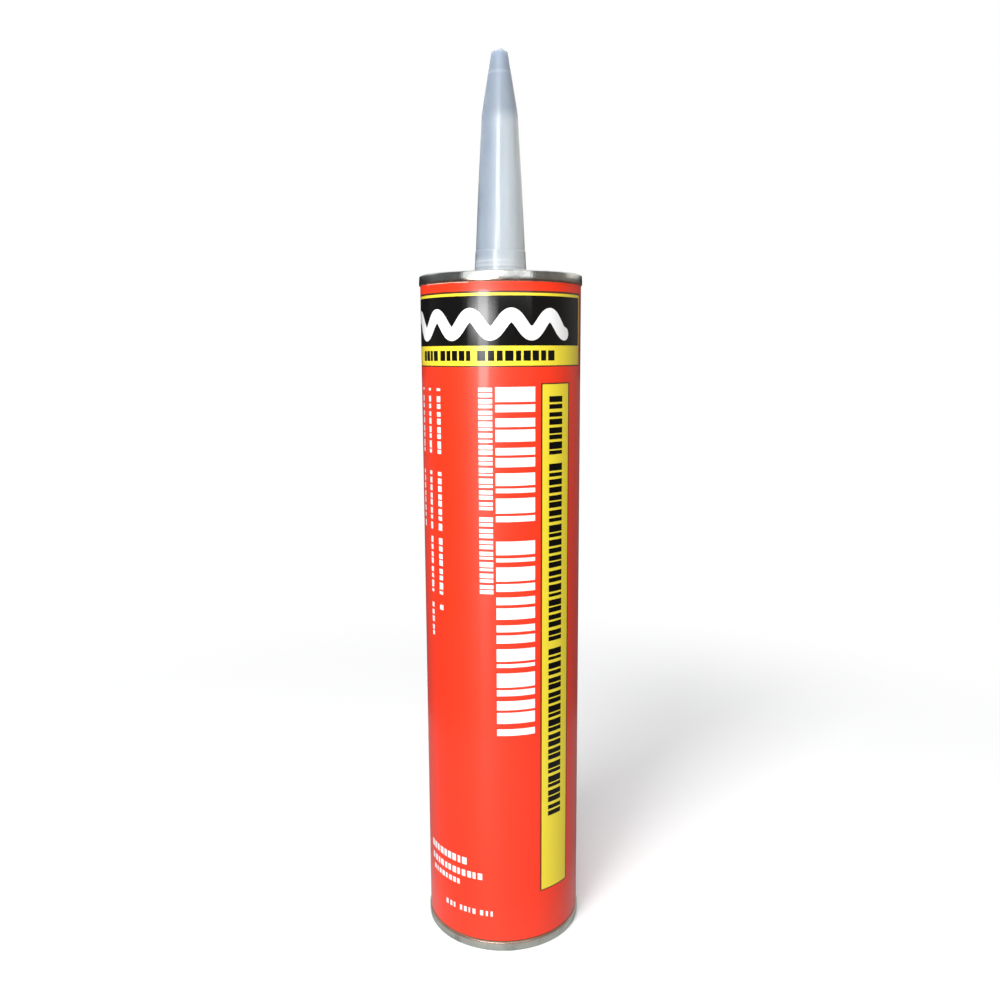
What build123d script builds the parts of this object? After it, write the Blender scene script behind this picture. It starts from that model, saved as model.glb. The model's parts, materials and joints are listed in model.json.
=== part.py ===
from build123d import *
from math import degrees
import os

# Construction adhesive cartridge for a caulking gun. A wound fibre tube carries a paper
# label. A drawn end with the nozzle is crimped over its front edge, a rolled ring over its
# rear edge, and a cup-shaped plunger slides in the bore behind the adhesive.
# Millimetres. +Z runs from the open rear end to the nozzle's tip. The origin is on the
# axis, in the plane that the rear rim stands on.

# Body and tube
body_length = 215.9  # over both rolled rims
tube_outer_r = 25.2
tube_wall = 1.3
bond_gap = 0.02  # glue line or crimp contact between curved faces
edge_round_share = 0.3  # rounding of the tube's edges, of its wall

# Tinplate, drawn and folded
sheet = 0.22
seam_height = 3.1
hem_height = 1.3
hem_squeeze = 0.02
hem_fold_share = 0.9  # radius of the hem's fold, of the sheet
rear_leg = 3.0

# Front end panel
panel_depth = 4.4  # from the rim's top down to the panel's top face
panel_corner_r = 0.8
bead_margin = 4.37  # from the bore leg in to the bead
bead_width = 4.8
bead_rise = 0.9
bead_slope = 0.8
collar_rise = 1.5
collar_gap = 0.1

# Label
label_paper = 0.1
label_edge_gap = 0.2
lap_width = 8.0

# Nozzle
flange_r = 12.0
flange_height = 1.2
foot_r = 8.35
neck_relief = 0.05
snap_bead_rise = 0.4
snap_bead_height = 1.2
foot_taper = 0.33
foot_rise = 4.0  # heights from here on are above the rim's top
ring_step = 0.18
ring_slant = 0.3
band_taper = 0.14
band_rise = 7.4
cone_hollow = 0.08
shoulder_r = 5.55
shoulder_rise = 48.3
shoulder_blend_r = 14.0
tip_ring_r = 3.32
tip_ring_step = 0.12
tip_ring_rise = 61.6
tip_r = 2.5
tip_rise = 66.5
tip_corner_r = 0.35
nozzle_wall = 1.25
tip_wall = 1.6
gate_r = 0.9
gate_rise = 0.9
gate_offset = 0.6

# Seal, fill and plunger
foil = 0.1
foil_margin = 0.5
fill_gap = 0.1
face_gap = 0.3
plunger_sheet = 0.3
plunger_inset = 24.0  # from the rear rim to the plunger's edge
plunger_height = 14.0
plunger_corner_r = 2.2
plunger_wall_gap = 0.4
wiper_gap = 0.08
wiper_height = 1.5
dish_depth = 1.6
dish_r = 11.0
dish_slope = 2.4

# Places that follow from them
bore_r = tube_outer_r - tube_wall
leg_r = bore_r - bond_gap - sheet / 2
hem_outer_r = tube_outer_r + bond_gap + 2 * sheet + hem_squeeze
outer_leg_r = hem_outer_r - sheet / 2
sleeve_r = tube_outer_r + bond_gap
edge_round = edge_round_share * tube_wall
rim_bend_r = edge_round + sheet / 2
panel_top = body_length - panel_depth
panel_mid = panel_top - sheet / 2
panel_under = panel_top - sheet
bead_outer_r = leg_r - bead_margin
bead_inner_r = bead_outer_r - bead_width
neck_r = foot_r - neck_relief
hole_r = neck_r + collar_gap
flange_under = panel_under - flange_height
foil_under = flange_under - foil
face_z = plunger_inset + plunger_height


def rim_corners(rim_z, inwards):
    """Corners of the sheet's middle line over a tube edge: bore leg, crown, outer leg down
    to its hem. inwards is +1 where the body lies above the rim and -1 where it lies below."""
    crown = rim_z + inwards * sheet / 2
    outer_foot = rim_z + inwards * (seam_height - hem_height)
    return [(leg_r, crown), (outer_leg_r, crown), (outer_leg_r, outer_foot)]


def add_hem(rim_z, inwards):
    """The outer leg's edge, folded back flat against the tube, with a round fold at its foot."""
    middle_r = (sleeve_r + hem_outer_r) / 2
    foot_z = rim_z + inwards * seam_height
    with Locations((middle_r, foot_z - inwards * hem_height / 2)):
        Rectangle(hem_outer_r - sleeve_r, hem_height)
    fillet(vertices().sort_by_distance((hem_outer_r, foot_z))[0], radius=hem_fold_share * sheet)


# Tube body: the wound fibre wall, its edges pressed round where they sit in the crimps
with BuildPart() as tube_body:
    with BuildSketch(Plane.XY.offset(sheet)):
        Circle(tube_outer_r)
        Circle(bore_r, mode=Mode.SUBTRACT)
    extrude(amount=body_length - 2 * sheet)
    rims = tube_body.edges().group_by(Axis.Z)
    fillet(rims[0] + rims[-1], radius=edge_round)

tube_body.part.label = "tube_body"
export_step(tube_body.part, "parts/tube_body.step")

# Label: a paper sleeve between the two hems, lapped over itself at the back
label_low = seam_height + label_edge_gap
label_high = body_length - seam_height - label_edge_gap
lap_middle_r = sleeve_r + label_paper + label_paper / 2
lap_angle = degrees(lap_width / lap_middle_r)
with BuildPart() as label:
    with BuildSketch(Plane.XY.offset(label_low)):
        Circle(sleeve_r + label_paper)
        Circle(sleeve_r, mode=Mode.SUBTRACT)
    extrude(amount=label_high - label_low)
    with BuildSketch(Plane.XY.offset(label_low)):
        with BuildLine():
            CenterArc((0, 0), lap_middle_r, 90 - lap_angle / 2, lap_angle)
        trace(line_width=label_paper)
    extrude(amount=label_high - label_low)

label.part.label = "label"
export_step(label.part, "parts/label.step")

# Top end: collar round the nozzle, beaded panel, bore wall and crimped rim in one sheet
with BuildPart() as top_end:
    with BuildSketch(Plane.XZ):
        with BuildLine():
            FilletPolyline(
                (hole_r + sheet / 2, panel_mid + collar_rise),
                (hole_r + sheet / 2, panel_mid),
                (bead_inner_r, panel_mid),
                (bead_inner_r + bead_slope, panel_mid + bead_rise),
                (bead_outer_r - bead_slope, panel_mid + bead_rise),
                (bead_outer_r, panel_mid),
                (leg_r, panel_mid),
                *rim_corners(body_length, -1),
                radius=[0] * 5 + [panel_corner_r] + [rim_bend_r] * 2,
            )
        trace(line_width=sheet)
        add_hem(body_length, -1)
    revolve(axis=Axis.Z)

top_end.part.label = "top_end"
export_step(top_end.part, "parts/top_end.step")

# Bottom ring: the same crimp on the rear edge, with a short leg in the bore
with BuildPart() as bottom_ring:
    with BuildSketch(Plane.XZ):
        with BuildLine():
            FilletPolyline((leg_r, rear_leg), *rim_corners(0, 1), radius=rim_bend_r)
        trace(line_width=sheet)
        add_hem(0, 1)
    revolve(axis=Axis.Z)

bottom_ring.part.label = "bottom_ring"
export_step(bottom_ring.part, "parts/bottom_ring.step")

# Nozzle: flange under the panel, snap bead over the collar, ringed foot, long cone, steeper
# tip with a fine ring, and the torn gate of its mould
collar_top = panel_mid + collar_rise
bead_low = collar_top + collar_gap
bead_high = bead_low + snap_bead_height
foot_top = body_length + foot_rise
foot_top_r = foot_r - foot_taper
band_top = body_length + band_rise
band_r = foot_top_r - ring_step
band_top_r = band_r - band_taper
cone_r = band_top_r - ring_step
shoulder_z = body_length + shoulder_rise
tip_ring_z = body_length + tip_ring_rise
tip_z = body_length + tip_rise
gate_top = tip_z + gate_rise
tear_x = gate_offset + 2 * gate_r  # where the tear's slope would meet the tip
with BuildPart() as nozzle:
    with BuildSketch(Plane.XZ):
        with BuildLine():
            Polyline(
                (0, flange_under),
                (flange_r, flange_under),
                (flange_r, panel_under),
                (neck_r, panel_under),
                (neck_r, bead_low),
            )
            ThreePointArc(
                (neck_r, bead_low),
                (neck_r + snap_bead_rise, (bead_low + bead_high) / 2),
                (foot_r, bead_high),
            )
            Polyline(
                (foot_r, bead_high),
                (foot_top_r, foot_top),
                (band_r, foot_top + ring_slant),
                (band_top_r, band_top),
                (cone_r, band_top + ring_slant),
            )
            SagittaArc((cone_r, band_top + ring_slant), (shoulder_r, shoulder_z), cone_hollow)
            Polyline(
                (shoulder_r, shoulder_z),
                (tip_ring_r, tip_ring_z),
                (tip_ring_r - tip_ring_step, tip_ring_z + ring_slant),
                (tip_r, tip_z),
                (0, tip_z),
                (0, flange_under),
            )
        make_face()
        fillet(vertices().sort_by_distance((shoulder_r, shoulder_z))[0], radius=shoulder_blend_r)
        fillet(vertices().sort_by_distance((tip_r, tip_z))[0], radius=tip_corner_r)
        with BuildLine():
            Polyline(
                (0, flange_under),
                (neck_r - nozzle_wall, flange_under),
                (foot_top_r - nozzle_wall, foot_top),
                (cone_r - nozzle_wall, band_top),
                (shoulder_r - nozzle_wall, shoulder_z),
                (tip_r - nozzle_wall, tip_z - tip_wall),
                (0, tip_z - tip_wall),
                (0, flange_under),
            )
        make_face(mode=Mode.SUBTRACT)
    revolve(axis=Axis.Z)
    with BuildSketch(Plane.XY.offset(tip_z)):
        with Locations((gate_offset, 0)):
            Circle(gate_r)
    extrude(amount=gate_rise)
    with BuildSketch(Plane.XZ):
        with BuildLine():
            Polyline((gate_offset, gate_top), (tear_x, gate_top), (tear_x, tip_z), close=True)
        make_face()
    extrude(amount=2 * gate_r, both=True, mode=Mode.SUBTRACT)

nozzle.part.label = "nozzle"
export_step(nozzle.part, "parts/nozzle.step")

# Foil seal: a disc welded over the nozzle's open foot
with BuildPart() as foil_seal:
    with BuildSketch(Plane.XY.offset(foil_under)):
        Circle(flange_r - foil_margin)
    extrude(amount=foil)

foil_seal.part.label = "foil_seal"
export_step(foil_seal.part, "parts/foil_seal.step")

# Adhesive: the fill, from the seal down to the plunger's dished face
fill_r = bore_r - fill_gap
with BuildPart() as adhesive:
    with BuildSketch(Plane.XZ):
        with BuildLine():
            Polyline(
                (0, foil_under),
                (fill_r, foil_under),
                (fill_r, face_z + face_gap),
                (dish_r + dish_slope, face_z + face_gap),
                (dish_r, face_z - dish_depth + face_gap),
                (0, face_z - dish_depth + face_gap),
                (0, foil_under),
            )
        make_face()
    revolve(axis=Axis.Z)

adhesive.part.label = "adhesive"
export_step(adhesive.part, "parts/adhesive.step")

# Plunger: a drawn cup, open to the rear, with a dished face and a flared edge that wipes
# the bore
plunger_wall_r = bore_r - plunger_wall_gap - plunger_sheet / 2
wiper_r = bore_r - wiper_gap - plunger_sheet / 2
plunger_face_mid = face_z - plunger_sheet / 2
dish_mid = plunger_face_mid - dish_depth
with BuildPart() as plunger:
    with BuildSketch(Plane.XZ):
        with BuildLine():
            FilletPolyline(
                (0, dish_mid),
                (dish_r, dish_mid),
                (dish_r + dish_slope, plunger_face_mid),
                (plunger_wall_r, plunger_face_mid),
                (plunger_wall_r, plunger_inset + wiper_height),
                (wiper_r, plunger_inset),
                radius=[0, 0, plunger_corner_r, 0],
            )
        trace(line_width=plunger_sheet)
    revolve(axis=Axis.Z)

plunger.part.label = "plunger"
export_step(plunger.part, "parts/plunger.step")
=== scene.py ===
import json
from math import cos, pi, radians, sin

import bmesh
import bpy
import numpy as np
from mathutils import Matrix, Vector


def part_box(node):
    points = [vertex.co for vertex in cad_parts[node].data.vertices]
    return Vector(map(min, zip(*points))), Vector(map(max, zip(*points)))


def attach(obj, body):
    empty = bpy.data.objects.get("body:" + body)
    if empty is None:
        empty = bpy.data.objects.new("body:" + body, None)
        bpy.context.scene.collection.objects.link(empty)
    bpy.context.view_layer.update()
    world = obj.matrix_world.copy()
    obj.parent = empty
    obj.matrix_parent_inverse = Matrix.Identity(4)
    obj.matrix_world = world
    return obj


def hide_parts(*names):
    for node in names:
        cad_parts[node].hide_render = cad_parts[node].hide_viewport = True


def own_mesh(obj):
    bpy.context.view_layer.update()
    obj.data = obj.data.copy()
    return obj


# Construction adhesive cartridge: a printed paper label on a wound fibre tube, crimped
# tinplate ends, a milky nozzle and a drawn plunger in the open rear end.
# Sizes are in millimetres and angles in degrees. An angle round the axis is 0 at the front,
# where -Y is, and grows towards +X. Meshes are written in metres, in the CAD's frame.

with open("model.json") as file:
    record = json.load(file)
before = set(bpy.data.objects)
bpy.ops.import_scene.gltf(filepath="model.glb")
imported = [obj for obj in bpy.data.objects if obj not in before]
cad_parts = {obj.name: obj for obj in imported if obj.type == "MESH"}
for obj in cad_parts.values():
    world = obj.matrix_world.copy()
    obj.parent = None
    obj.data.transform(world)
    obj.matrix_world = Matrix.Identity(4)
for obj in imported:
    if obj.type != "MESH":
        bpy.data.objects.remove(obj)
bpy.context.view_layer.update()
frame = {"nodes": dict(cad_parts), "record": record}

MM = 0.001
TURNS = 240  # faces round a turned piece


def box_mm(node):
    """Lowest and highest corner of a CAD node, in millimetres."""
    low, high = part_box(node)
    return np.array(low) / MM, np.array(high) / MM


# Places read from the frame
label_low, label_high = box_mm("label")
tube_low, tube_high = box_mm("tube_body")
plunger_low, plunger_high = box_mm("plunger")
fill_low, fill_high = box_mm("adhesive")
top_high = box_mm("top_end")[1]
nozzle_low = box_mm("nozzle")[0]

rim_top = top_high[2]
hem_r = top_high[0]
label_r = label_high[0]
label_bottom = label_low[2]
label_top = label_high[2]
tube_r = tube_high[0]
fill_r = fill_high[0]


# Shared mesh and profile functions

def bent(points, radii, steps=6):
    """An open line of straight runs joined by arcs. Each inner corner gives way to the arc of
    its radius that touches both of its runs, and a radius of 0 keeps the corner."""
    points = [np.array(point, float) for point in points]
    line = [points[0]]
    for before, corner, after, radius in zip(points, points[1:], points[2:], radii):
        if radius == 0:
            line.append(corner)
            continue
        to_before = (before - corner) / np.linalg.norm(before - corner)
        to_after = (after - corner) / np.linalg.norm(after - corner)
        half = np.arccos(np.clip(to_before @ to_after, -1, 1)) / 2
        middle = (to_before + to_after) / np.linalg.norm(to_before + to_after)
        centre = corner + middle * radius / np.sin(half)
        start = corner + to_before * radius / np.tan(half) - centre
        end = corner + to_after * radius / np.tan(half) - centre
        first = np.arctan2(start[1], start[0])
        sweep = (np.arctan2(end[1], end[0]) - first + pi) % (2 * pi) - pi
        along = first + sweep * np.linspace(0, 1, steps + 1)
        line.extend(centre + radius * np.stack([np.cos(along), np.sin(along)], axis=1))
    line.append(points[-1])
    return np.array(line)


def sheet_section(line, thickness):
    """The closed section of a sheet along its middle line: the line moved half a thickness to
    its left, and back again along its right. At a corner the move follows the bisector."""
    runs = np.diff(line, axis=0)
    runs /= np.linalg.norm(runs, axis=1, keepdims=True)
    before = np.vstack([runs[:1], runs])
    after = np.vstack([runs, runs[-1:]])
    middle = before + after
    middle /= np.linalg.norm(middle, axis=1, keepdims=True)
    reach = thickness / 2 / (middle * after).sum(axis=1, keepdims=True)
    side = np.stack([-middle[:, 1], middle[:, 0]], axis=1) * reach
    return np.vstack([line + side, (line - side)[::-1]])


def turned(section, closed):
    """Vertices and faces of a section (r, z) carried round the axis: x = r sin a, y = -r cos a,
    z = z. A closed section wraps round, and an open one starts and ends on the axis."""
    count = len(section)
    angle = np.arange(TURNS) * 2 * pi / TURNS
    r = section[:, :1]
    z = section[:, 1:] + 0 * angle
    vertices = np.stack([r * np.sin(angle), -r * np.cos(angle), z], axis=-1).reshape(-1, 3)
    steps = count if closed else count - 1
    i, j = np.meshgrid(np.arange(steps), np.arange(TURNS), indexing="ij")
    near, far = i * TURNS, (i + 1) % count * TURNS
    after = (j + 1) % TURNS
    faces = np.stack([near + j, near + after, far + after, far + j], axis=-1).reshape(-1, 4)
    return vertices, faces


def outward(vertices, faces):
    """The faces turned to point outwards: all are flipped if their signed volume is negative."""
    a, b, c, d = (vertices[faces[:, k]] for k in range(4))
    volume = (np.cross(a, b) * c).sum() + (np.cross(a, c) * d).sum()
    return faces if volume > 0 else faces[:, ::-1]


def add_piece(name, shells, node, material, slot):
    """One object from shells of vertices and quads, standing for a CAD node. Doubled points,
    such as those of a pole, are merged, and edges of more than 35 degrees stay sharp."""
    points, quads, start = [], [], 0
    for vertices, faces in shells:
        points.append(vertices * MM)
        quads.append(outward(vertices, faces) + start)
        start += len(vertices)
    mesh = bpy.data.meshes.new(name)
    mesh.from_pydata(np.vstack(points).tolist(), [], np.vstack(quads).tolist())
    cleaned = bmesh.new()
    cleaned.from_mesh(mesh)
    bmesh.ops.remove_doubles(cleaned, verts=cleaned.verts, dist=1e-8)
    cleaned.to_mesh(mesh)
    cleaned.free()
    mesh.shade_smooth()
    mesh.set_sharp_from_angle(angle=radians(35))
    mesh.materials.append(material)
    return place(bpy.data.objects.new(name, mesh), node, slot)


def place(piece, node, slot):
    """Puts a piece in the scene on its node's body and hides the node; slot is not used."""
    bpy.context.scene.collection.objects.link(piece)
    piston = frame["record"]["behaviour"]["bodies"]["piston"]
    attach(piece, "piston" if node in piston else "cartridge")
    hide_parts(node)
    return piece


# Materials

class Value:
    """One output socket. Its operators add Math nodes to the same tree."""

    def __init__(self, nodes, socket):
        self.nodes = nodes
        self.socket = socket

    def math(self, operation, *others):
        return self.nodes.math(operation, self, *others)

    def __add__(self, other):
        return self.math("ADD", other)

    def __sub__(self, other):
        return self.math("SUBTRACT", other)

    def __mul__(self, other):
        return self.math("MULTIPLY", other)

    def __pow__(self, other):
        return self.math("POWER", other)

    def __rsub__(self, other):
        return self.nodes.math("SUBTRACT", other, self)

    def __neg__(self):
        return self.math("MULTIPLY", -1)

    __radd__ = __add__
    __rmul__ = __mul__

    def size(self):
        return self.math("ABSOLUTE")

    def ramp(self, low, high):
        """0 up to low, 1 from high on, with a smooth rise between."""
        settings = {"interpolation_type": "SMOOTHSTEP"}
        return self.nodes.node("ShaderNodeMapRange", settings, {0: self, 1: low, 2: high})


class Nodes:
    """A node tree whose values are written as Python expressions."""

    def __init__(self, tree):
        self.tree = tree

    def node(self, kind, settings, inputs, output=0):
        """Adds a node, sets it up, feeds its sockets with numbers or Values, and gives one
        output, or nothing where output is None."""
        made = self.tree.nodes.new(kind)
        for name, value in settings.items():
            setattr(made, name, value)
        for name, value in inputs.items():
            self.connect(made.inputs[name], value)
        return None if output is None else Value(self, made.outputs[output])

    def connect(self, socket, value):
        if isinstance(value, Value):
            self.tree.links.new(value.socket, socket)
        else:
            socket.default_value = value

    def math(self, operation, *operands):
        """A Math node on numbers or Values."""
        return self.node("ShaderNodeMath", {"operation": operation}, dict(enumerate(operands)))

    def blend(self, share, colour, other):
        """Colour, mixed with the other colour by share."""
        paints = [part if isinstance(part, Value) else (*part, 1) for part in (colour, other)]
        inputs = {0: share, 6: paints[0], 7: paints[1]}
        return self.node("ShaderNodeMix", {"data_type": "RGBA"}, inputs, 2)


class Finish(Nodes):
    """A procedural material on Object coordinates, which are the CAD's own."""

    def __init__(self, name, colour=None, **constants):
        self.material = bpy.data.materials.new(name)
        self.material.use_nodes = True
        super().__init__(self.material.node_tree)
        self.shader = self.tree.nodes["Principled BSDF"]
        if colour is not None:
            self.feed(Base_Color=(*colour, 1))
        self.feed(**constants)
        place = self.node("ShaderNodeTexCoord", {}, {}, "Object")
        scale = {"operation": "SCALE"}
        self.place = self.node("ShaderNodeVectorMath", scale, {0: place, "Scale": 1 / MM})
        self.x, self.y, self.z = (
            self.node("ShaderNodeSeparateXYZ", {}, {0: self.place}, axis) for axis in "XYZ"
        )
        self.angle = self.x.math("ARCTAN2", -self.y)  # radians

    def feed(self, **values):
        """Sets or links the shader's own sockets, by their names with _ for a space."""
        for name, value in values.items():
            self.connect(self.shader.inputs[name.replace("_", " ")], value)
        return self

    def noise(self, where, scale, detail=2.0, rough=0.5):
        """Fractal noise about 0 to 1, with scale features a millimetre."""
        inputs = {"Vector": where, "Scale": scale, "Detail": detail, "Roughness": rough}
        return self.node("ShaderNodeTexNoise", {}, inputs, 0)

    def around(self, angle_share, z_share):
        """A place on the unrolled wall: radians times angle_share along, z times z_share up."""
        inputs = {"X": self.angle * angle_share, "Y": self.z * z_share}
        return self.node("ShaderNodeCombineXYZ", {}, inputs)

    def relief(self, height, strength=1.0):
        """Bump from a height in millimetres."""
        inputs = {"Height": height, "Distance": MM, "Strength": strength}
        return self.feed(Normal=self.node("ShaderNodeBump", {}, inputs))


def printed_ink(name, colour, sheen=0.5):
    """Ink under the label's gloss: faint orange peel, slow ripples where the paper lies over
    the wound tube, and a gloss that varies a little and dies away under the top seam."""
    ink = Finish(name, colour, Coat_Roughness=0.11, Coat_IOR=1.5, Specular_IOR_Level=sheen)
    ripple = ink.noise(ink.around(5.0, 0.045), 1.0)
    peel = ink.noise(ink.place, 1.6)
    wear = ink.noise(ink.place, 0.12, 4.0)
    below_seam = 1 - ink.z.ramp(label_top - 3.0, label_top - 1.8)
    ink.feed(Roughness=0.34 + 0.1 * wear, Coat_Weight=(0.62 + 0.2 * wear) * below_seam)
    ink.relief(ripple * 0.03 + peel * 0.0012)
    return ink.material


def bare_paper():
    """The label's cut edge and back, uncoated and fibrous, and the painted highlight under the top
    seam.
    """
    paper = Finish("bare_paper", (0.8, 0.55, 0.47))
    fibre = paper.noise(paper.place, 4.0, 4.0)
    paper.feed(Roughness=0.75 + 0.2 * fibre)
    paper.relief(fibre * 0.01)
    return paper.material


def tinplate(name, colour, rolled, hem=None):
    """Bright tinplate: fine rolling lines round the piece, chuck marks across them, and the
    odd dull patch. Between the two heights of a hem the metal is brown, patchy with the chuck
    marks."""
    tin = Finish(name, Metallic=1.0)
    lines = tin.noise(tin.around(2.0, 9.0), rolled, 3.0)
    marks = tin.noise(tin.around(26.0, 0.35), 1.0, 3.0)
    patch = tin.noise(tin.place, 0.16, 3.0)
    dull = patch.ramp(0.45, 0.7)
    worn = tuple(0.72 * part for part in colour)
    base = tin.blend(dull, colour, worn)
    if hem is not None:
        low, high = hem
        hem_brown = tin.z.ramp(low - 0.2, low + 0.2) * (1 - tin.z.ramp(high - 0.25, high + 0.25))
        base = tin.blend(hem_brown * (0.5 + 0.6 * marks), base, (0.56, 0.38, 0.3))
    tin.feed(Base_Color=base)
    tin.feed(Roughness=0.13 + 0.12 * dull + 0.08 * lines)
    tin.relief(lines * 0.004 + marks * 0.02)
    return tin.material


def milky_polyethylene():
    """Natural polyethylene: milky and faintly cloudy, with painted shade on its -X side and
    painted light towards +X, paler near the foot, darker and duller on the tip, and glossy from
    the mould between them. Pale lines along the mould's rings are painted highlights, and a dark
    line lies low on the foot."""
    milk = Finish(
        "milky_polyethylene",
        Subsurface_Weight=1.0,
        Subsurface_Radius=(6.0, 6.6, 7.8),
        Subsurface_Scale=MM,
        Coat_Roughness=0.12,
        Coat_IOR=1.5,
        Specular_IOR_Level=0.25,
    )
    cloud = milk.noise(milk.place, 0.11, 3.0)
    flow = milk.noise(milk.around(3.0, 0.03), 1.0, 2.0)
    grain = milk.noise(milk.place, 2.2, 3.0)
    height = milk.z - float(rim_top)
    # painted shade on the -X side and painted light towards +X, across the whole nozzle
    body = milk.blend(milk.x.ramp(-6.0, 9.0), (0.21, 0.26, 0.335), (0.6, 0.67, 0.77))
    body = milk.blend((1 - height.ramp(2.0, 50.0)) * 0.25, body, (0.55, 0.62, 0.72))
    body = milk.blend(cloud.ramp(0.3, 0.7) * 0.2, body, (0.42, 0.46, 0.52))
    tip = height.ramp(45.0, 50.0)
    body = milk.blend(tip * 0.7, body, (0.2, 0.24, 0.3))
    pale = (1 - height.ramp(4.4, 6.2)) * 0.3
    # painted highlights along the mould's rings, each as (height, half width, share)
    ring_highlight_lines = ((4.35, 0.45, 0.4), (3.0, 0.4, 0.35), (60.3, 0.8, 0.15))
    for middle, half, share in ring_highlight_lines:
        pale = pale + (1 - (height - middle).size().ramp(0.0, half)) * share
    dark = 1 - (height - 2.3).size().ramp(0.0, 0.5)
    body = milk.blend(dark * 0.35, milk.blend(pale, body, (0.58, 0.63, 0.71)), (0.27, 0.3, 0.36))
    milk.feed(Base_Color=body, Coat_Weight=0.95 - 0.7 * tip)
    milk.feed(Roughness=0.24 + 0.12 * grain + 0.06 * cloud + 0.1 * tip)
    milk.relief(flow * 0.05 + grain * 0.003)
    return milk.material


def wound_fibre():
    """Wound fibre tube: kraft plies with a spiral seam every turn, fibres along the wind."""
    board = Finish("wound_fibre")
    lead = 62.0  # that the seam climbs in a turn
    turn = board.angle * (1 / (2 * pi)) + board.z * (1 / lead)
    seam = 1 - (turn.math("FRACT") - 0.5).size().ramp(0.0, 0.012)
    fibre = board.noise(board.around(12.0, 1.4), 1.0, 5.0, 0.6)
    speck = board.noise(board.place, 0.9, 4.0)
    kraft = board.blend(speck.ramp(0.35, 0.7), (0.42, 0.31, 0.2), (0.33, 0.24, 0.155))
    board.feed(Base_Color=board.blend(seam * 0.6, kraft, (0.2, 0.14, 0.09)))
    board.feed(Roughness=0.7 + 0.2 * fibre)
    board.relief(fibre * 0.03 - seam * 0.12)
    return board.material


def sealing_foil():
    """Thin foil, slightly crinkled where it is welded down."""
    foil = Finish("sealing_foil", (0.75, 0.76, 0.77), Metallic=1.0)
    crinkle = foil.noise(foil.place, 0.7, 4.0)
    foil.feed(Roughness=0.25 + 0.2 * crinkle)
    foil.relief(crinkle * 0.06)
    return foil.material


def adhesive_paste():
    """Tan paste with fine filler in it."""
    paste = Finish("adhesive_paste")
    filler = paste.noise(paste.place, 1.3, 4.0)
    tan = paste.blend(filler.ramp(0.35, 0.7), (0.62, 0.5, 0.33), (0.5, 0.39, 0.25))
    paste.feed(Base_Color=tan, Roughness=0.35 + 0.2 * filler)
    paste.relief(filler * 0.05)
    return paste.material


# Label: print as fields of ink on a sheet wrapped round the tube. Left and right are angles
# and low and high are heights.
paper = 0.1
lap_turn = 18.0  # that the sheet lies over itself at the back
degree = radians(1) * label_r  # one degree along the wall, mm
RED, BLACK, YELLOW, WHITE, OUTLINE, BARE = range(6)

head_left, head_right = -112.5, 73.0  # the framed head with its black band
head_low, head_high = 188.0, 209.9
band_low, band_high = 194.2, 208.6
band_right = 70.6
rule_width = 0.45  # dark outlines
bead_middle = 200.4  # the white bead that runs as a wave along the band
bead_half = 1.95
bead_swing = 2.75
bead_pitch = 12.4
bead_start, bead_end = -2.75 * bead_pitch, 1.75 * bead_pitch  # at a crest or a trough
stripe_left, stripe_right = 28.0, 55.0
stripe_low, stripe_high = 19.2, 183.2
foot_shade_line = 0.4  # painted shade along the bottom, where the label meets the rear ring
cut_edge_glare = 0.1  # pale paper along the top: partly the cut edge, partly a painted highlight where the paper rides under the seam
glare_left, glare_right = -62.0, -22.0
glare_rise, glare_waver = 0.07, 0.06  # the painted highlight's lower border runs unevenly
lap_step = 0.6  # in which the sheet climbs onto its own start
flare, flare_fade = 0.06, 0.7  # outwards under the top seam, and over what height


def word(start, count, pitch, gap, phase, way=1, spread=0.16, beat=0.0):
    """Spans of count bars laid one after another from start. Bar i takes up pitch times
    1 + spread sin(2.4 i + phase), of which gap stays bare, or by turns more and less than gap
    by the share beat. way -1 runs down or leftwards."""
    bar = np.arange(count)
    size = pitch * (1 + spread * np.sin(2.4 * bar + phase))
    ends = start + way * np.cumsum(size)
    bare = gap * (1 - beat * (-1.0) ** bar)
    return [tuple(sorted(span)) for span in zip(ends - way * size, ends - way * bare)]


def column(ink, left, right, words):
    """Fields of ink for words of blocks that run down the label between two angles."""
    return [(ink, left, right, low, high) for spans in words for low, high in spans]


def row(ink, low, high, words):
    """Fields of ink for words of blocks that run round the label between two heights."""
    return [
        (ink, start / degree, end / degree, low, high) for spans in words for start, end in spans
    ]


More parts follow.
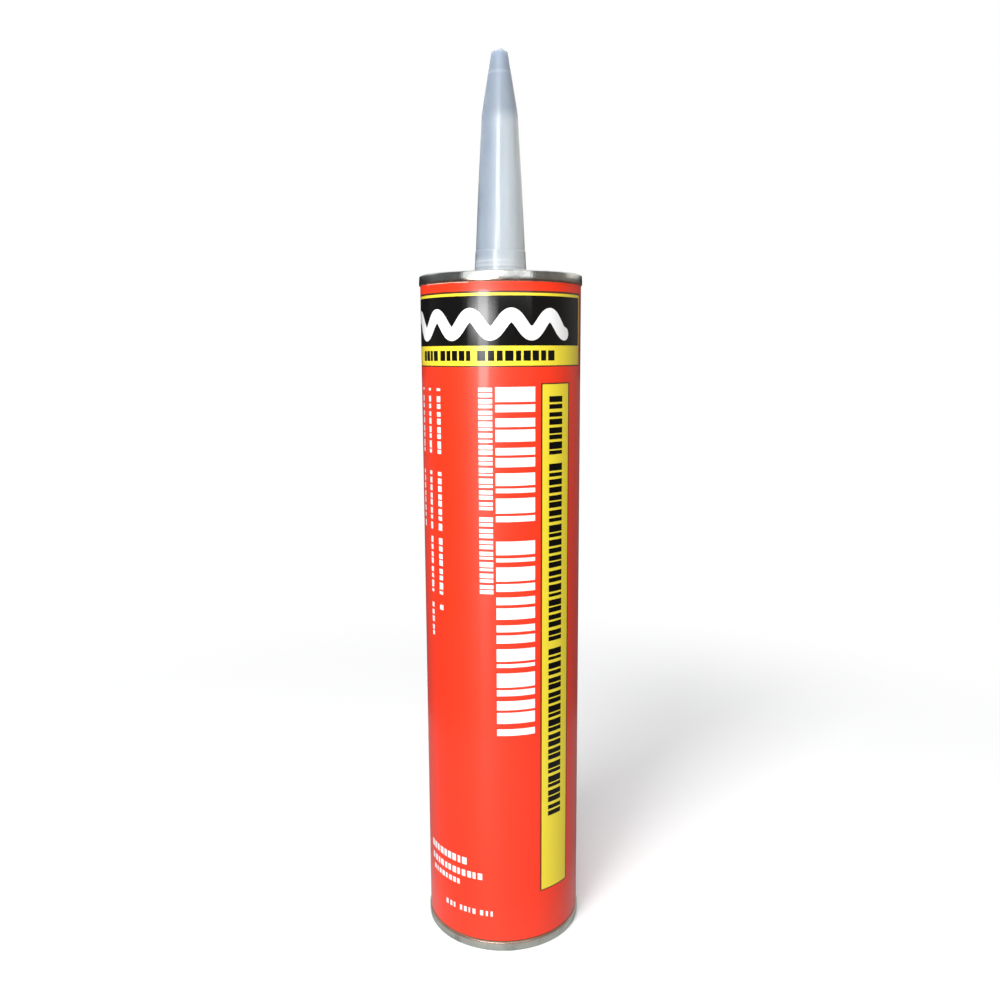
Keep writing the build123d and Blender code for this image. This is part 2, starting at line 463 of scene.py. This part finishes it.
def print_fields():
    """Every field of ink as (ink, left, right, low, high), later ones over earlier ones, with
    painted shade along the label's foot and a painted highlight under the top seam among them.
    """
    rule = rule_width / degree
    inner_low, inner_high = head_low + rule_width, head_high - rule_width
    fields = [
        (OUTLINE, head_left, head_right, head_low, head_high),
        (YELLOW, head_left + rule, head_right - rule, inner_low, inner_high),
        (BLACK, head_left + 3 * rule, band_right, band_low, band_high),
        (OUTLINE, stripe_left, stripe_right, stripe_low, stripe_high),
    ]
    inner_low, inner_high = stripe_low + rule_width, stripe_high - rule_width
    fields.append((YELLOW, stripe_left + rule, stripe_right - rule, inner_low, inner_high))
    slogan = [
        word(-30.2, 4, 2.2, 0.5, 0.4),
        word(-20.3, 5, 2.35, 0.55, 2.0),
        word(-7.0, 9, 2.72, 0.65, 1.1),
    ]
    fields += row(BLACK, 189.8, 192.9, slogan)
    title = [
        word(182.1, 10, 4.15, 1.3, 0.9, -1, 0.3, 0.35),
        word(135.8, 15, 4.2, 1.3, 2.3, -1, 0.3, 0.35),
    ]
    fields += column(WHITE, -3.8, 23.5, title)
    subtitle = [
        word(182.1, 22, 1.7, 0.6, 0.2, -1, 0.16, 0.3),
        word(143.3, 14, 1.74, 0.6, 1.2, -1, 0.16, 0.3),
    ]
    fields += column(WHITE, -15.4, -6.0, subtitle)
    second = [
        word(179.3, 8, 2.32, 0.7, 0.3, -1, 0.16, 0.3),
        word(158.8, 24, 2.36, 0.7, 1.4, -1, 0.16, 0.3),
        word(100.5, 24, 2.36, 0.7, 2.1, -1, 0.16, 0.3),
    ]
    fields += column(BLACK, 34.8, 47.4, second)
    fine = [span for spans in second for span in spans]
    bullet = [(180.8, 181.6)]
    for left, right, lowest in ((-50.8, -46.8, 110.0), (-61.6, -58.4, 99.5), (-74.4, -71.2, 137.5)):
        bars = [span for count, span in enumerate(fine) if span[0] > lowest and count % 9 != 8]
        fields += column(WHITE, left, right, [bars, bullet])
    notes = [
        (28.6, 31.0, [word(-30.6, 9, 2.05, 0.6, 0.9)]),
        (24.4, 26.6, [word(-30.0, 12, 1.96, 0.6, 0.2)]),
        (21.0, 22.8, [word(-29.0, 8, 1.8, 0.6, 1.6)]),
        (12.0, 13.8, [word(-21.4, 3, 1.7, 0.8, 0.8)]),
        (12.0, 13.8, [word(-15.2, 4, 1.6, 0.8, 0.1)]),
        (12.0, 13.8, [word(-7.8, 3, 1.7, 0.8, 1.1)]),
    ]
    for low, high, words in notes:
        fields += row(WHITE, low, high, words)
    around = 180 + lap_turn
    # painted shade along the label's foot, in the outline ink
    fields.append((OUTLINE, -around, around, label_bottom, label_bottom + foot_shade_line))
    # painted highlight in bare paper under the top seam, on the lit front-left only
    fields.append((BARE, glare_left, glare_right, label_top - cut_edge_glare, label_top))
    return fields


def grid_lines(borders, regular, clear):
    """Sorted lines at every border, and the regular ones that keep clear of the borders."""
    borders = np.unique(np.round(borders, 2))
    away = np.abs(regular[:, None] - borders).min(axis=1) > clear
    return np.unique(np.concatenate([regular[away], borders]))


def bead_edge(angle, side):
    """Height of the bead's upper (side 1) or lower (-1) edge at angles: how far a disc of radius
    bead_half reaches there as it runs along the wave bead_swing sin(2 pi t / bead_pitch)."""
    s = np.clip(angle * degree, bead_start - bead_half, bead_end + bead_half)
    t = np.linspace(bead_start, bead_end, 2001)
    under = bead_half**2 - (s[:, None] - t) ** 2
    reach = side * bead_swing * np.sin(2 * pi * t / bead_pitch) + np.sqrt(np.maximum(under, 0))
    return bead_middle + side * np.where(under > -1e-9, reach, -np.inf).max(axis=1)


def bead_heights(angle, level):
    """Where the rows of the black band run: the middle rows follow the bead's edges, and the
    rows above and below share what is left."""
    lower, upper = bead_edge(angle, -1)[:, None], bead_edge(angle, 1)[:, None]
    lower_row, upper_row = bead_middle - bead_half, bead_middle + bead_half
    below = band_low + (level - band_low) / (lower_row - band_low) * (lower - band_low)
    above = band_high + (level - band_high) / (upper_row - band_high) * (upper - band_high)
    inside = lower + (upper - lower) * (level - lower_row) / (upper_row - lower_row)
    return np.where(level <= lower_row, below, np.where(level >= upper_row, above, inside))


def print_grid(fields):
    """Angles and heights of the grid's lines: every border of the print, to the nearest 0.4
    degrees and 0.2 mm, the sheet's ends, the round ends of the bead, and regular lines between,
    which are closer on the printed side."""
    end = 180 - lap_turn / 2
    sides = np.round(np.array([side for field in fields for side in field[1:3]]) * 2.5) / 2.5
    sides = [*sides[np.abs(sides) < end], -180 - lap_turn / 2, 180 + lap_turn / 2]
    cap = bead_half * np.sin(np.linspace(0, pi / 2, 7))
    sides += [*(bead_start - cap) / degree, *(bead_end + cap) / degree]
    front = np.arange(-114.0, 80.0, 1.2)
    back = np.concatenate([np.arange(-188.5, -114.5, 2.5), np.arange(80.5, 188.5, 2.5)])
    angle = grid_lines(sides, np.concatenate([front, back]), 0.3)
    levels = [level for field in fields for level in field[3:5]]
    levels += [bead_middle - bead_half, bead_middle + bead_half, label_bottom]
    height = grid_lines(np.round(np.array(levels) * 5) / 5, np.arange(4.0, 211.0, 11.0), 1.0)
    height[0], height[-1] = label_bottom, label_top
    return angle, height


def face_inks(fields, angle, height):
    """The ink of each face between two lines each way: the red ground, the fields over it, and
    the bead over them."""
    ink = np.full((len(angle) - 1, len(height) - 1), RED)
    mid_angle = (angle[:-1] + angle[1:])[:, None] / 2
    mid_height = (height[:-1] + height[1:])[None, :] / 2
    for colour, left, right, low, high in fields:
        across = (mid_angle > left) & (mid_angle < right)
        ink[across & (mid_height > low) & (mid_height < high)] = colour
    from_end = np.minimum(mid_angle * degree - bead_start, bead_end - mid_angle * degree)
    ink[(from_end > -bead_half) & (np.abs(mid_height - bead_middle) < bead_half)] = WHITE
    return ink


def label_walls(angle, height):
    """Points of the label's outer wall, on every line of the grid, and of its inner wall, on the
    two outermost heights. The radius is the sleeve's, one paper more where the sheet laps over
    its start, and flares a little under the top seam by two sines of the angle. In the band the
    rows follow the bead, and the lower border of the painted highlight under the top seam
    wavers by two sines too."""
    a, z = np.meshgrid(angle, height, indexing="ij")
    in_band = (z > band_low) & (z < band_high) & (a > head_left) & (a < band_right)
    z = np.where(in_band, bead_heights(angle, z), z)
    # the row that carries the lower border of the painted highlight under the top seam
    cut = np.abs(z - height[-2]) < 1e-6
    z = np.where(cut, z + glare_rise + glare_waver * np.sin(a * 0.21) * np.sin(a * 0.083 + 1), z)
    over = np.clip((a - (180 - lap_turn / 2)) / lap_step, 0, 1)
    uneven = 1 + np.sin(a * 0.17) * np.sin(a * 0.061)
    out = flare * np.exp((z - label_top) / flare_fade) * uneven
    r = label_r + paper * over + out * (1 - over)
    outer = np.stack([r * np.sin(np.radians(a)), -r * np.cos(np.radians(a)), z], axis=-1)
    r = label_r - paper + paper * over[:, [0, -1]]
    turn = np.radians(angle)[:, None]
    ends = np.array([label_bottom, label_top]) + 0 * turn
    inner = np.stack([r * np.sin(turn), -r * np.cos(turn), ends], axis=-1)
    return outer, inner


def label_sheet():
    """The label: a closed sheet with its print. The outer wall is a grid of angle and height
    whose lines lie on every border of the print, so each face has one ink. The inner wall has
    one face for each step of the angle, and narrow faces join the two all round."""
    fields = print_fields()
    angle, height = print_grid(fields)
    ink = face_inks(fields, angle, height)
    outer, inner = label_walls(angle, height)

    columns, rows = len(angle), len(height)
    at = np.arange(columns * rows).reshape(columns, rows)
    under = columns * rows + np.arange(columns * 2).reshape(columns, 2)
    wall = np.stack([at[:-1, :-1], at[1:, :-1], at[1:, 1:], at[:-1, 1:]], axis=-1).reshape(-1, 4)
    back_wall = np.stack([under[:-1, 0], under[:-1, 1], under[1:, 1], under[1:, 0]], axis=-1)
    foot = np.stack([at[:-1, 0], under[:-1, 0], under[1:, 0], at[1:, 0]], axis=-1)
    head = np.stack([at[:-1, -1], at[1:, -1], under[1:, 1], under[:-1, 1]], axis=-1)
    quads = np.vstack([wall, back_wall, foot, head]).tolist()
    start = [*at[0].tolist(), int(under[0, 1]), int(under[0, 0])]
    end = [*at[-1, ::-1].tolist(), int(under[-1, 0]), int(under[-1, 1])]

    mesh = bpy.data.meshes.new("printed_label")
    points = np.vstack([outer.reshape(-1, 3), inner.reshape(-1, 3)]) * MM
    mesh.from_pydata(points.tolist(), [], quads + [start, end])
    for material in label_inks():
        mesh.materials.append(material)
    inks = np.full(len(mesh.polygons), BARE)
    inks[: len(wall)] = ink.reshape(-1)
    mesh.polygons.foreach_set("material_index", inks)
    round_normals(mesh, len(wall))
    return place(bpy.data.objects.new("printed_label", mesh), "label", "printed_paper")


def round_normals(mesh, wall_faces):
    """Normals square to the axis on the first wall_faces faces, whatever the width of the grid's
    columns, and each face's own normal elsewhere."""
    mesh.shade_smooth()
    starts = np.zeros(len(mesh.polygons), int)
    mesh.polygons.foreach_get("loop_start", starts)
    sizes = np.zeros(len(mesh.polygons), int)
    mesh.polygons.foreach_get("loop_total", sizes)
    flat = np.zeros(len(mesh.polygons) * 3)
    mesh.polygons.foreach_get("normal", flat)
    corner = np.zeros(len(mesh.loops), int)
    mesh.loops.foreach_get("vertex_index", corner)
    points = np.zeros(len(mesh.vertices) * 3)
    mesh.vertices.foreach_get("co", points)
    radial = points.reshape(-1, 3)[corner] * (1, 1, 0)
    radial /= np.linalg.norm(radial, axis=1, keepdims=True)
    face = np.repeat(np.arange(len(mesh.polygons)), sizes)
    normals = np.where((face < wall_faces)[:, None], radial, flat.reshape(-1, 3)[face])
    mesh.normals_split_custom_set(normals.tolist())


def label_inks():
    """The label's materials, in the order of RED, BLACK, YELLOW, WHITE, OUTLINE and BARE."""
    return [
        printed_ink("ink_red", (0.9, 0.034, 0.006)),
        printed_ink("ink_black", (0.002, 0.0016, 0.0014), 0.1),
        printed_ink("ink_yellow", (0.87, 0.7, 0.035)),
        printed_ink("ink_white", (0.9, 0.9, 0.9)),
        printed_ink("ink_outline", (0.09, 0.022, 0.006)),
        bare_paper(),
    ]


# Tinplate ends
sheet = 0.22
glue_line = 0.02
hem_gap = 0.02
hem_height = 1.3
seam_height = 3.1
crown_in, foot_in = 0.1, 0.005  # the seam's outer wall is widest where its hem ends
seam_radii = [0.5, 0.5, 6.0, 0.1, 0.1]  # of its corners, from the crown's inner one
rear_leg = 3.0
panel_depth = 4.4  # from the rim's crown to the panel
panel_corner_r = 0.8
bead_bend_r = 0.5
collar_r = 8.4
collar_rise = 1.5
bead_margin = 4.37  # from the bore leg to the panel's bead
bead_width = 4.8
bead_rise = 0.9
bead_slope = 0.8

# Tube and plunger
tube_wall = 1.3
edge_round = 0.39
plate = 0.3
plunger_gap, wiper_gap = 0.4, 0.08  # from the bore to the wall and to the wiping edge
wiper_height = 1.5
plunger_bends = [0.9, 0.9, 2.2, 0.9]
dish_depth = 1.6
dish_r, dish_rim_r = 11.0, 13.4

outer_leg = hem_r - sheet / 2
inner_fold = outer_leg - sheet - hem_gap
bore_r = tube_r - tube_wall
bore_leg = bore_r - glue_line - sheet / 2


def seam_line(rim_z, inwards):
    """Middle line of a crimp from the crown's inner corner: over the tube's edge, down the
    slightly barrelled outer leg, and back up inside its hem. inwards is +1 where the body
    lies above the rim and -1 where it lies below."""
    crown = rim_z + inwards * sheet / 2
    hem_edge = rim_z + inwards * (seam_height - hem_height)
    foot = rim_z + inwards * (seam_height - sheet / 2)
    return [
        (bore_leg, crown),
        (outer_leg - crown_in, crown),
        (outer_leg, hem_edge),
        (outer_leg - foot_in, foot),
        (inner_fold, foot),
        (inner_fold, hem_edge),
    ]


def tinplate_top():
    """The drawn top end: collar, panel with its bead, bore wall and crimped seam, as one sheet
    bent along its middle line and turned."""
    panel = rim_top - panel_depth - sheet / 2
    hole = collar_r + sheet / 2
    bead_outer = bore_leg - bead_margin
    bead_inner = bead_outer - bead_width
    points = [
        (hole, panel + collar_rise),
        (hole, panel),
        (bead_inner, panel),
        (bead_inner + bead_slope, panel + bead_rise),
        (bead_outer - bead_slope, panel + bead_rise),
        (bead_outer, panel),
        (bore_leg, panel),
        *seam_line(rim_top, -1),
    ]
    line = bent(points, [bead_bend_r] * 5 + [panel_corner_r] + seam_radii)
    shell = turned(sheet_section(line, sheet), True)
    tin = tinplate("tinplate", (0.62, 0.63, 0.61), 1.0, (rim_top - 3.2, rim_top - 2.5))
    return add_piece("crimped_top", [shell], "top_end", tin, "tinplate")


def tinplate_ring():
    """The rear ring: the same crimp, with a short leg in the bore."""
    line = bent([(bore_leg, rear_leg), *seam_line(0, 1)], seam_radii)
    shell = turned(sheet_section(line, sheet), True)
    tin = tinplate("ring_tinplate", (0.74, 0.8, 0.73), 1.0, (2.6, 3.3))
    return add_piece("crimped_ring", [shell], "bottom_ring", tin, "tinplate")


def fibre_tube():
    """The tube's wall with its pressed edges: a box section whose corners are rounded, entered
    half way along its lower edge."""
    low, high = tube_low[2], tube_high[2]
    middle = tube_r - tube_wall / 2
    corners = [
        (middle, low),
        (tube_r, low),
        (tube_r, high),
        (bore_r, high),
        (bore_r, low),
        (middle, low),
    ]
    line = bent(corners, [edge_round] * 4)[:-1]
    return add_piece("wound_tube", [turned(line, True)], "tube_body", wound_fibre(), "fibreboard")


def drawn_plunger():
    """The plunger: a cup open to the rear with a dished face and a flared wiping edge. The
    section starts and ends on the axis."""
    edge, face = plunger_low[2], plunger_high[2] - plate / 2
    wall = bore_r - plunger_gap - plate / 2
    wiper = bore_r - wiper_gap - plate / 2
    points = [
        (0, face - dish_depth),
        (dish_r, face - dish_depth),
        (dish_rim_r, face),
        (wall, face),
        (wall, edge + wiper_height),
        (wiper, edge),
    ]
    section = sheet_section(bent(points, plunger_bends), plate)
    tin = tinplate("plunger_tinplate", (0.6, 0.61, 0.6), 0.6)
    return add_piece("drawn_plunger", [turned(section, False)], "plunger", tin, "plunger_tinplate")


def adhesive_fill():
    """The fill, from the foil down to the plunger's dished face: a section that starts and ends
    on the axis."""
    dish, top = fill_low[2], fill_high[2]
    face = dish + dish_depth
    section = np.array(
        [(0, top), (fill_r, top), (fill_r, face), (dish_rim_r, face), (dish_r, dish), (0, dish)]
    )
    shell = turned(section, False)
    piece = add_piece("adhesive_fill", [shell], "adhesive", adhesive_paste(), "adhesive_paste")
    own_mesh(piece)


def finish_foil():
    """The foil stays as it is in the CAD, with a material of its own."""
    mesh = frame["nodes"]["foil_seal"].data
    mesh.materials.clear()
    mesh.materials.append(sealing_foil())


# Nozzle. Each rise is a height above the front rim's crown.
nozzle_wall = 1.25
flange_r, flange_height = 12.0, 1.2
neck_r = 8.3
collar_gap = 0.1
snap_height, snap_out = 1.2, 0.4
foot_r, foot_top_r, foot_rise = 8.35, 8.02, 4.0
band_r, band_taper, band_rise = 7.84, 0.14, 7.4
cone_r = 7.7
belly_r, belly_rise = 6.72, 28.0  # a point of the cone's hollowed side
shoulder_r, shoulder_rise = 5.55, 48.3
tip_ring_r, tip_ring_rise = 3.32, 61.6
tip_ring_step = 0.12
ring_slant = 0.3
ring_lip = 0.05
tip_r, tip_rise, tip_wall = 2.5, 66.5, 1.6

# The torn gate on its tip
gate_x = 0.6
gate_tear = 0.5  # how far its top falls for each millimetre towards +X
gate_radii = (0, 0.9, 0.9, 0.78, 0.4, 0)
gate_rises = (-0.3, -0.3, 0.78, 0.86, 0.89, 0.89)


def milky_nozzle():
    """The nozzle: flange, snap bead, ringed foot, long cone, steeper tip and the torn gate.
    The outer line runs from the tip's middle down to the flange, and the inner line back up."""
    flange_low = nozzle_low[2]
    flange_top = flange_low + flange_height
    tip = rim_top + tip_rise
    shoulder = rim_top + shoulder_rise
    snap = rim_top - panel_depth - sheet / 2 + collar_rise + collar_gap
    foot_top, band_top, tip_ring = (
        rim_top + rise for rise in (foot_rise, band_rise, tip_ring_rise)
    )
    outside = [
        (0, tip),
        (tip_r, tip),
        (tip_ring_r - tip_ring_step, tip_ring + ring_slant),
        (tip_ring_r, tip_ring),
        (shoulder_r, shoulder),
        (belly_r, rim_top + belly_rise),
        (cone_r, band_top + ring_slant),
        (band_r, band_top + ring_lip),
        (band_r, band_top),
        (band_r + band_taper, foot_top + ring_slant),
        (foot_top_r, foot_top),
        (foot_r, snap + snap_height),
        (neck_r + snap_out, snap + snap_height / 2),
        (neck_r, snap),
        (neck_r, flange_top),
        (flange_r, flange_top),
        (flange_r, flange_low),
    ]
    radii = [0.35, 0.6, 0.3, 14.0, 300.0, 0.2, 0, 0, 0.2, 0.2, 0.3, 0.5, 0.2, 0.1, 0.25]
    inside = [
        (neck_r - nozzle_wall, flange_low),
        (foot_top_r - nozzle_wall, foot_top),
        (cone_r - nozzle_wall, band_top),
        (shoulder_r - nozzle_wall, shoulder),
        (tip_r - nozzle_wall, tip - tip_wall),
        (0, tip - tip_wall),
    ]
    section = np.vstack([bent(outside, radii, 8), np.array(inside)])
    shells = [turned(section, False), torn_gate(tip)]
    milk = milky_polyethylene()
    return add_piece("milky_nozzle", shells, "nozzle", milk, "natural_polyethylene")


def torn_gate(tip):
    """The gate's stub: rings about gate_x, x = gate_x + r cos a, y = r sin a, each at its rise
    above the tip. It is closed on its own axis, and its top falls away towards +X."""
    turns = 32
    angle = np.arange(turns) * 2 * pi / turns
    reach = np.array(gate_radii)[:, None]
    rise = np.array(gate_rises)[:, None]
    x = gate_x + reach * np.cos(angle)
    y = reach * np.sin(angle)
    z = tip + rise - np.clip(x - gate_x, 0, 1) * gate_tear * (rise > 0)
    vertices = np.stack([x, y, z], axis=-1).reshape(-1, 3)
    i, j = np.meshgrid(np.arange(len(reach) - 1), np.arange(turns), indexing="ij")
    after = (j + 1) % turns
    near, far = i * turns, (i + 1) * turns
    faces = np.stack([near + j, near + after, far + after, far + j], axis=-1).reshape(-1, 4)
    return vertices, faces


# Stage: camera, floor, light
camera_distance = 298.6  # in front of the axis
camera_height = 192.3
camera_pan, camera_tilt, camera_roll = -0.102, 9.093, -0.294
camera_lens = 33.226


def add_camera():
    """A pinhole camera at the photograph's place, tilted down and turned by small angles."""
    pan, tilt, roll = (radians(turn) for turn in (camera_pan, camera_tilt, camera_roll))
    forward = Vector((sin(pan) * cos(tilt), cos(pan) * cos(tilt), -sin(tilt)))
    level = Vector((cos(pan), -sin(pan), 0))
    above = level.cross(forward)
    right = cos(roll) * level + sin(roll) * above
    up = -sin(roll) * level + cos(roll) * above
    data = bpy.data.cameras.new("camera")
    data.lens = camera_lens
    data.sensor_width = 36
    camera = bpy.data.objects.new("camera", data)
    turn = Matrix((right, up, -forward)).transposed().to_4x4()
    camera.matrix_world = Matrix.Translation((0, -camera_distance * MM, camera_height * MM)) @ turn
    bpy.context.scene.collection.objects.link(camera)
    bpy.context.scene.camera = camera


def add_panel(name, azimuth, away, across, low, high, radiance, mirrored=True, lights=True):
    """An upright lamp that faces the axis from an azimuth, away metres off, from height low to
    high, across metres wide. Its power gives the radiance asked for. Gloss shows it unless
    mirrored is False, and it lights what it shines on unless lights is False."""
    data = bpy.data.lights.new(name, "AREA")
    data.shape = "RECTANGLE"
    data.size, data.size_y = across, high - low
    data.energy = radiance * pi * across * (high - low)
    lamp = bpy.data.objects.new(name, data)
    out = Vector((sin(radians(azimuth)), -cos(radians(azimuth)), 0))
    lamp.location = out * away + Vector((0, 0, (low + high) / 2))
    lamp.rotation_euler = out.to_track_quat("Z", "Y").to_euler()
    lamp.visible_glossy = mirrored
    lamp.visible_diffuse = lights
    bpy.context.scene.collection.objects.link(lamp)


def add_overhead(height, across, radiance):
    """A square lamp that faces down from a height in metres."""
    data = bpy.data.lights.new("overhead", "AREA")
    data.shape = "SQUARE"
    data.size = across
    data.energy = radiance * pi * across**2
    lamp = bpy.data.objects.new("overhead", data)
    lamp.location = (0, 0, height)
    bpy.context.scene.collection.objects.link(lamp)


def seen_directly(nodes):
    """1 for rays straight from the camera or through glass, 0 for light that scatters."""
    camera = nodes.node("ShaderNodeLightPath", {}, {}, "Is Camera Ray")
    through = nodes.node("ShaderNodeLightPath", {}, {}, "Is Transmission Ray")
    return camera.math("MAXIMUM", through)


def add_world():
    """White where the camera looks past the floor, and where gloss mirrors it behind the object
    above the horizon. For the light on the object it is brighter overhead, with a dim warm
    wall to the right, a dimmer one to the left and a pale light from behind, which gloss
    doesn't show."""
    world = bpy.data.worlds.new("studio")
    bpy.context.scene.world = world
    world.use_nodes = True
    world.node_tree.nodes.clear()
    sky = Nodes(world.node_tree)
    way = sky.node("ShaderNodeTexCoord", {}, {}, "Generated")
    x, y, z = (sky.node("ShaderNodeSeparateXYZ", {}, {0: way}, axis) for axis in "XYZ")
    overhead = z.ramp(0.15, 0.9)
    right = x.ramp(0.35, 0.95) * (1 - z.ramp(0.2, 0.6))
    mirrored = sky.node("ShaderNodeLightPath", {}, {}, "Is Glossy Ray")
    backdrop = mirrored * y.ramp(0.1, 0.5) * (z + x * 0.06).ramp(0.13, 0.23)
    behind = y.ramp(0.45, 0.9) * (1 - z.ramp(0.3, 0.7)) * (1 - mirrored)
    left = (-x).ramp(0.75, 0.95) * (1 - z.ramp(0.2, 0.6))
    walls = 0.22 * right + 0.14 * left
    strength = 0.02 + 0.32 * overhead + walls + 0.9 * backdrop + 0.9 * behind
    colour = sky.blend(right, (0.94, 0.97, 1.0), (1.0, 0.92, 0.82))
    light = sky.node("ShaderNodeBackground", {}, {"Color": colour, "Strength": strength})
    white = sky.node("ShaderNodeBackground", {}, {"Color": (1, 1, 1, 1)})
    shown = sky.node("ShaderNodeMixShader", {}, {0: seen_directly(sky), 1: light, 2: white})
    sky.node("ShaderNodeOutputWorld", {}, {0: shown}, None)


def add_floor():
    """A pale sheet just under the rear rim, which fades to the white backdrop 0.18 to 0.38 m
    from the axis. Mirrored in the object it is grey near its foot and darker farther off, with
    a sheen that carries the window's light."""
    half, level = 6.0, -0.00002
    mesh = bpy.data.meshes.new("floor")
    sides = [(-half, -half), (half, -half), (half, half), (-half, half)]
    mesh.from_pydata([(x, y, level) for x, y in sides], [], [(0, 1, 2, 3)])
    floor = bpy.data.objects.new("floor", mesh)
    bpy.context.scene.collection.objects.link(floor)
    pale = Finish("pale_floor", Coat_Roughness=0.12)
    away = (pale.x * pale.x + pale.y * pale.y) ** 0.5
    mirrored = pale.node("ShaderNodeLightPath", {}, {}, "Is Glossy Ray")
    dark = mirrored * (0.5 * away.ramp(32.0, 60.0) + 0.45 * away.ramp(170.0, 215.0))
    pale.feed(Base_Color=pale.blend(dark, (0.36, 0.36, 0.36), (0.0, 0.0, 0.0)))
    sheen = Value(pale, pale.shader.outputs[0])
    near = pale.node("ShaderNodeBsdfDiffuse", {}, {"Color": (0.98, 0.98, 0.98, 1)})
    white = pale.node("ShaderNodeEmission", {}, {})
    fading = {0: away.ramp(180.0, 380.0), 1: near, 2: white}
    faded = pale.node("ShaderNodeMixShader", {}, fading)
    seen = seen_directly(pale)
    shown = pale.node("ShaderNodeMixShader", {}, {0: seen, 1: sheen, 2: faded})
    pale.connect(pale.tree.nodes["Material Output"].inputs[0], shown)
    mesh.materials.append(pale.material)


label_sheet()
tinplate_top()
tinplate_ring()
fibre_tube()
drawn_plunger()
milky_nozzle()
adhesive_fill()
finish_foil()

add_camera()
add_world()
add_floor()
add_panel("window_low", -24.5, 1.0, 0.24, 0.03, 0.2, 5.5)
add_panel("window", -24.5, 1.0, 0.24, 0.2, 0.46, 9.0)
add_panel("window_top", -10.5, 1.0, 0.34, 0.46, 1.0, 8.0)
add_panel("key", -31.0, 1.0, 0.4, 0.5, 1.25, 12.6, False)
for across in (0.38, 0.54, 0.7, 0.86):  # one behind another, for a glare with soft sides
    add_panel("glare", -25.5, 1.0 + 0.1 * across, across, 0.22, 0.262, 5.0, True, False)
add_panel("side_wall", -43.0, 1.0, 0.38, 0.268, 1.1, 1.25)
add_panel("pale_wall", 5.0, 1.0, 1.6, 0.27, 1.3, 1.4)
add_overhead(0.9, 1.0, 0.7)

bpy.context.scene.view_settings.view_transform = "Standard"
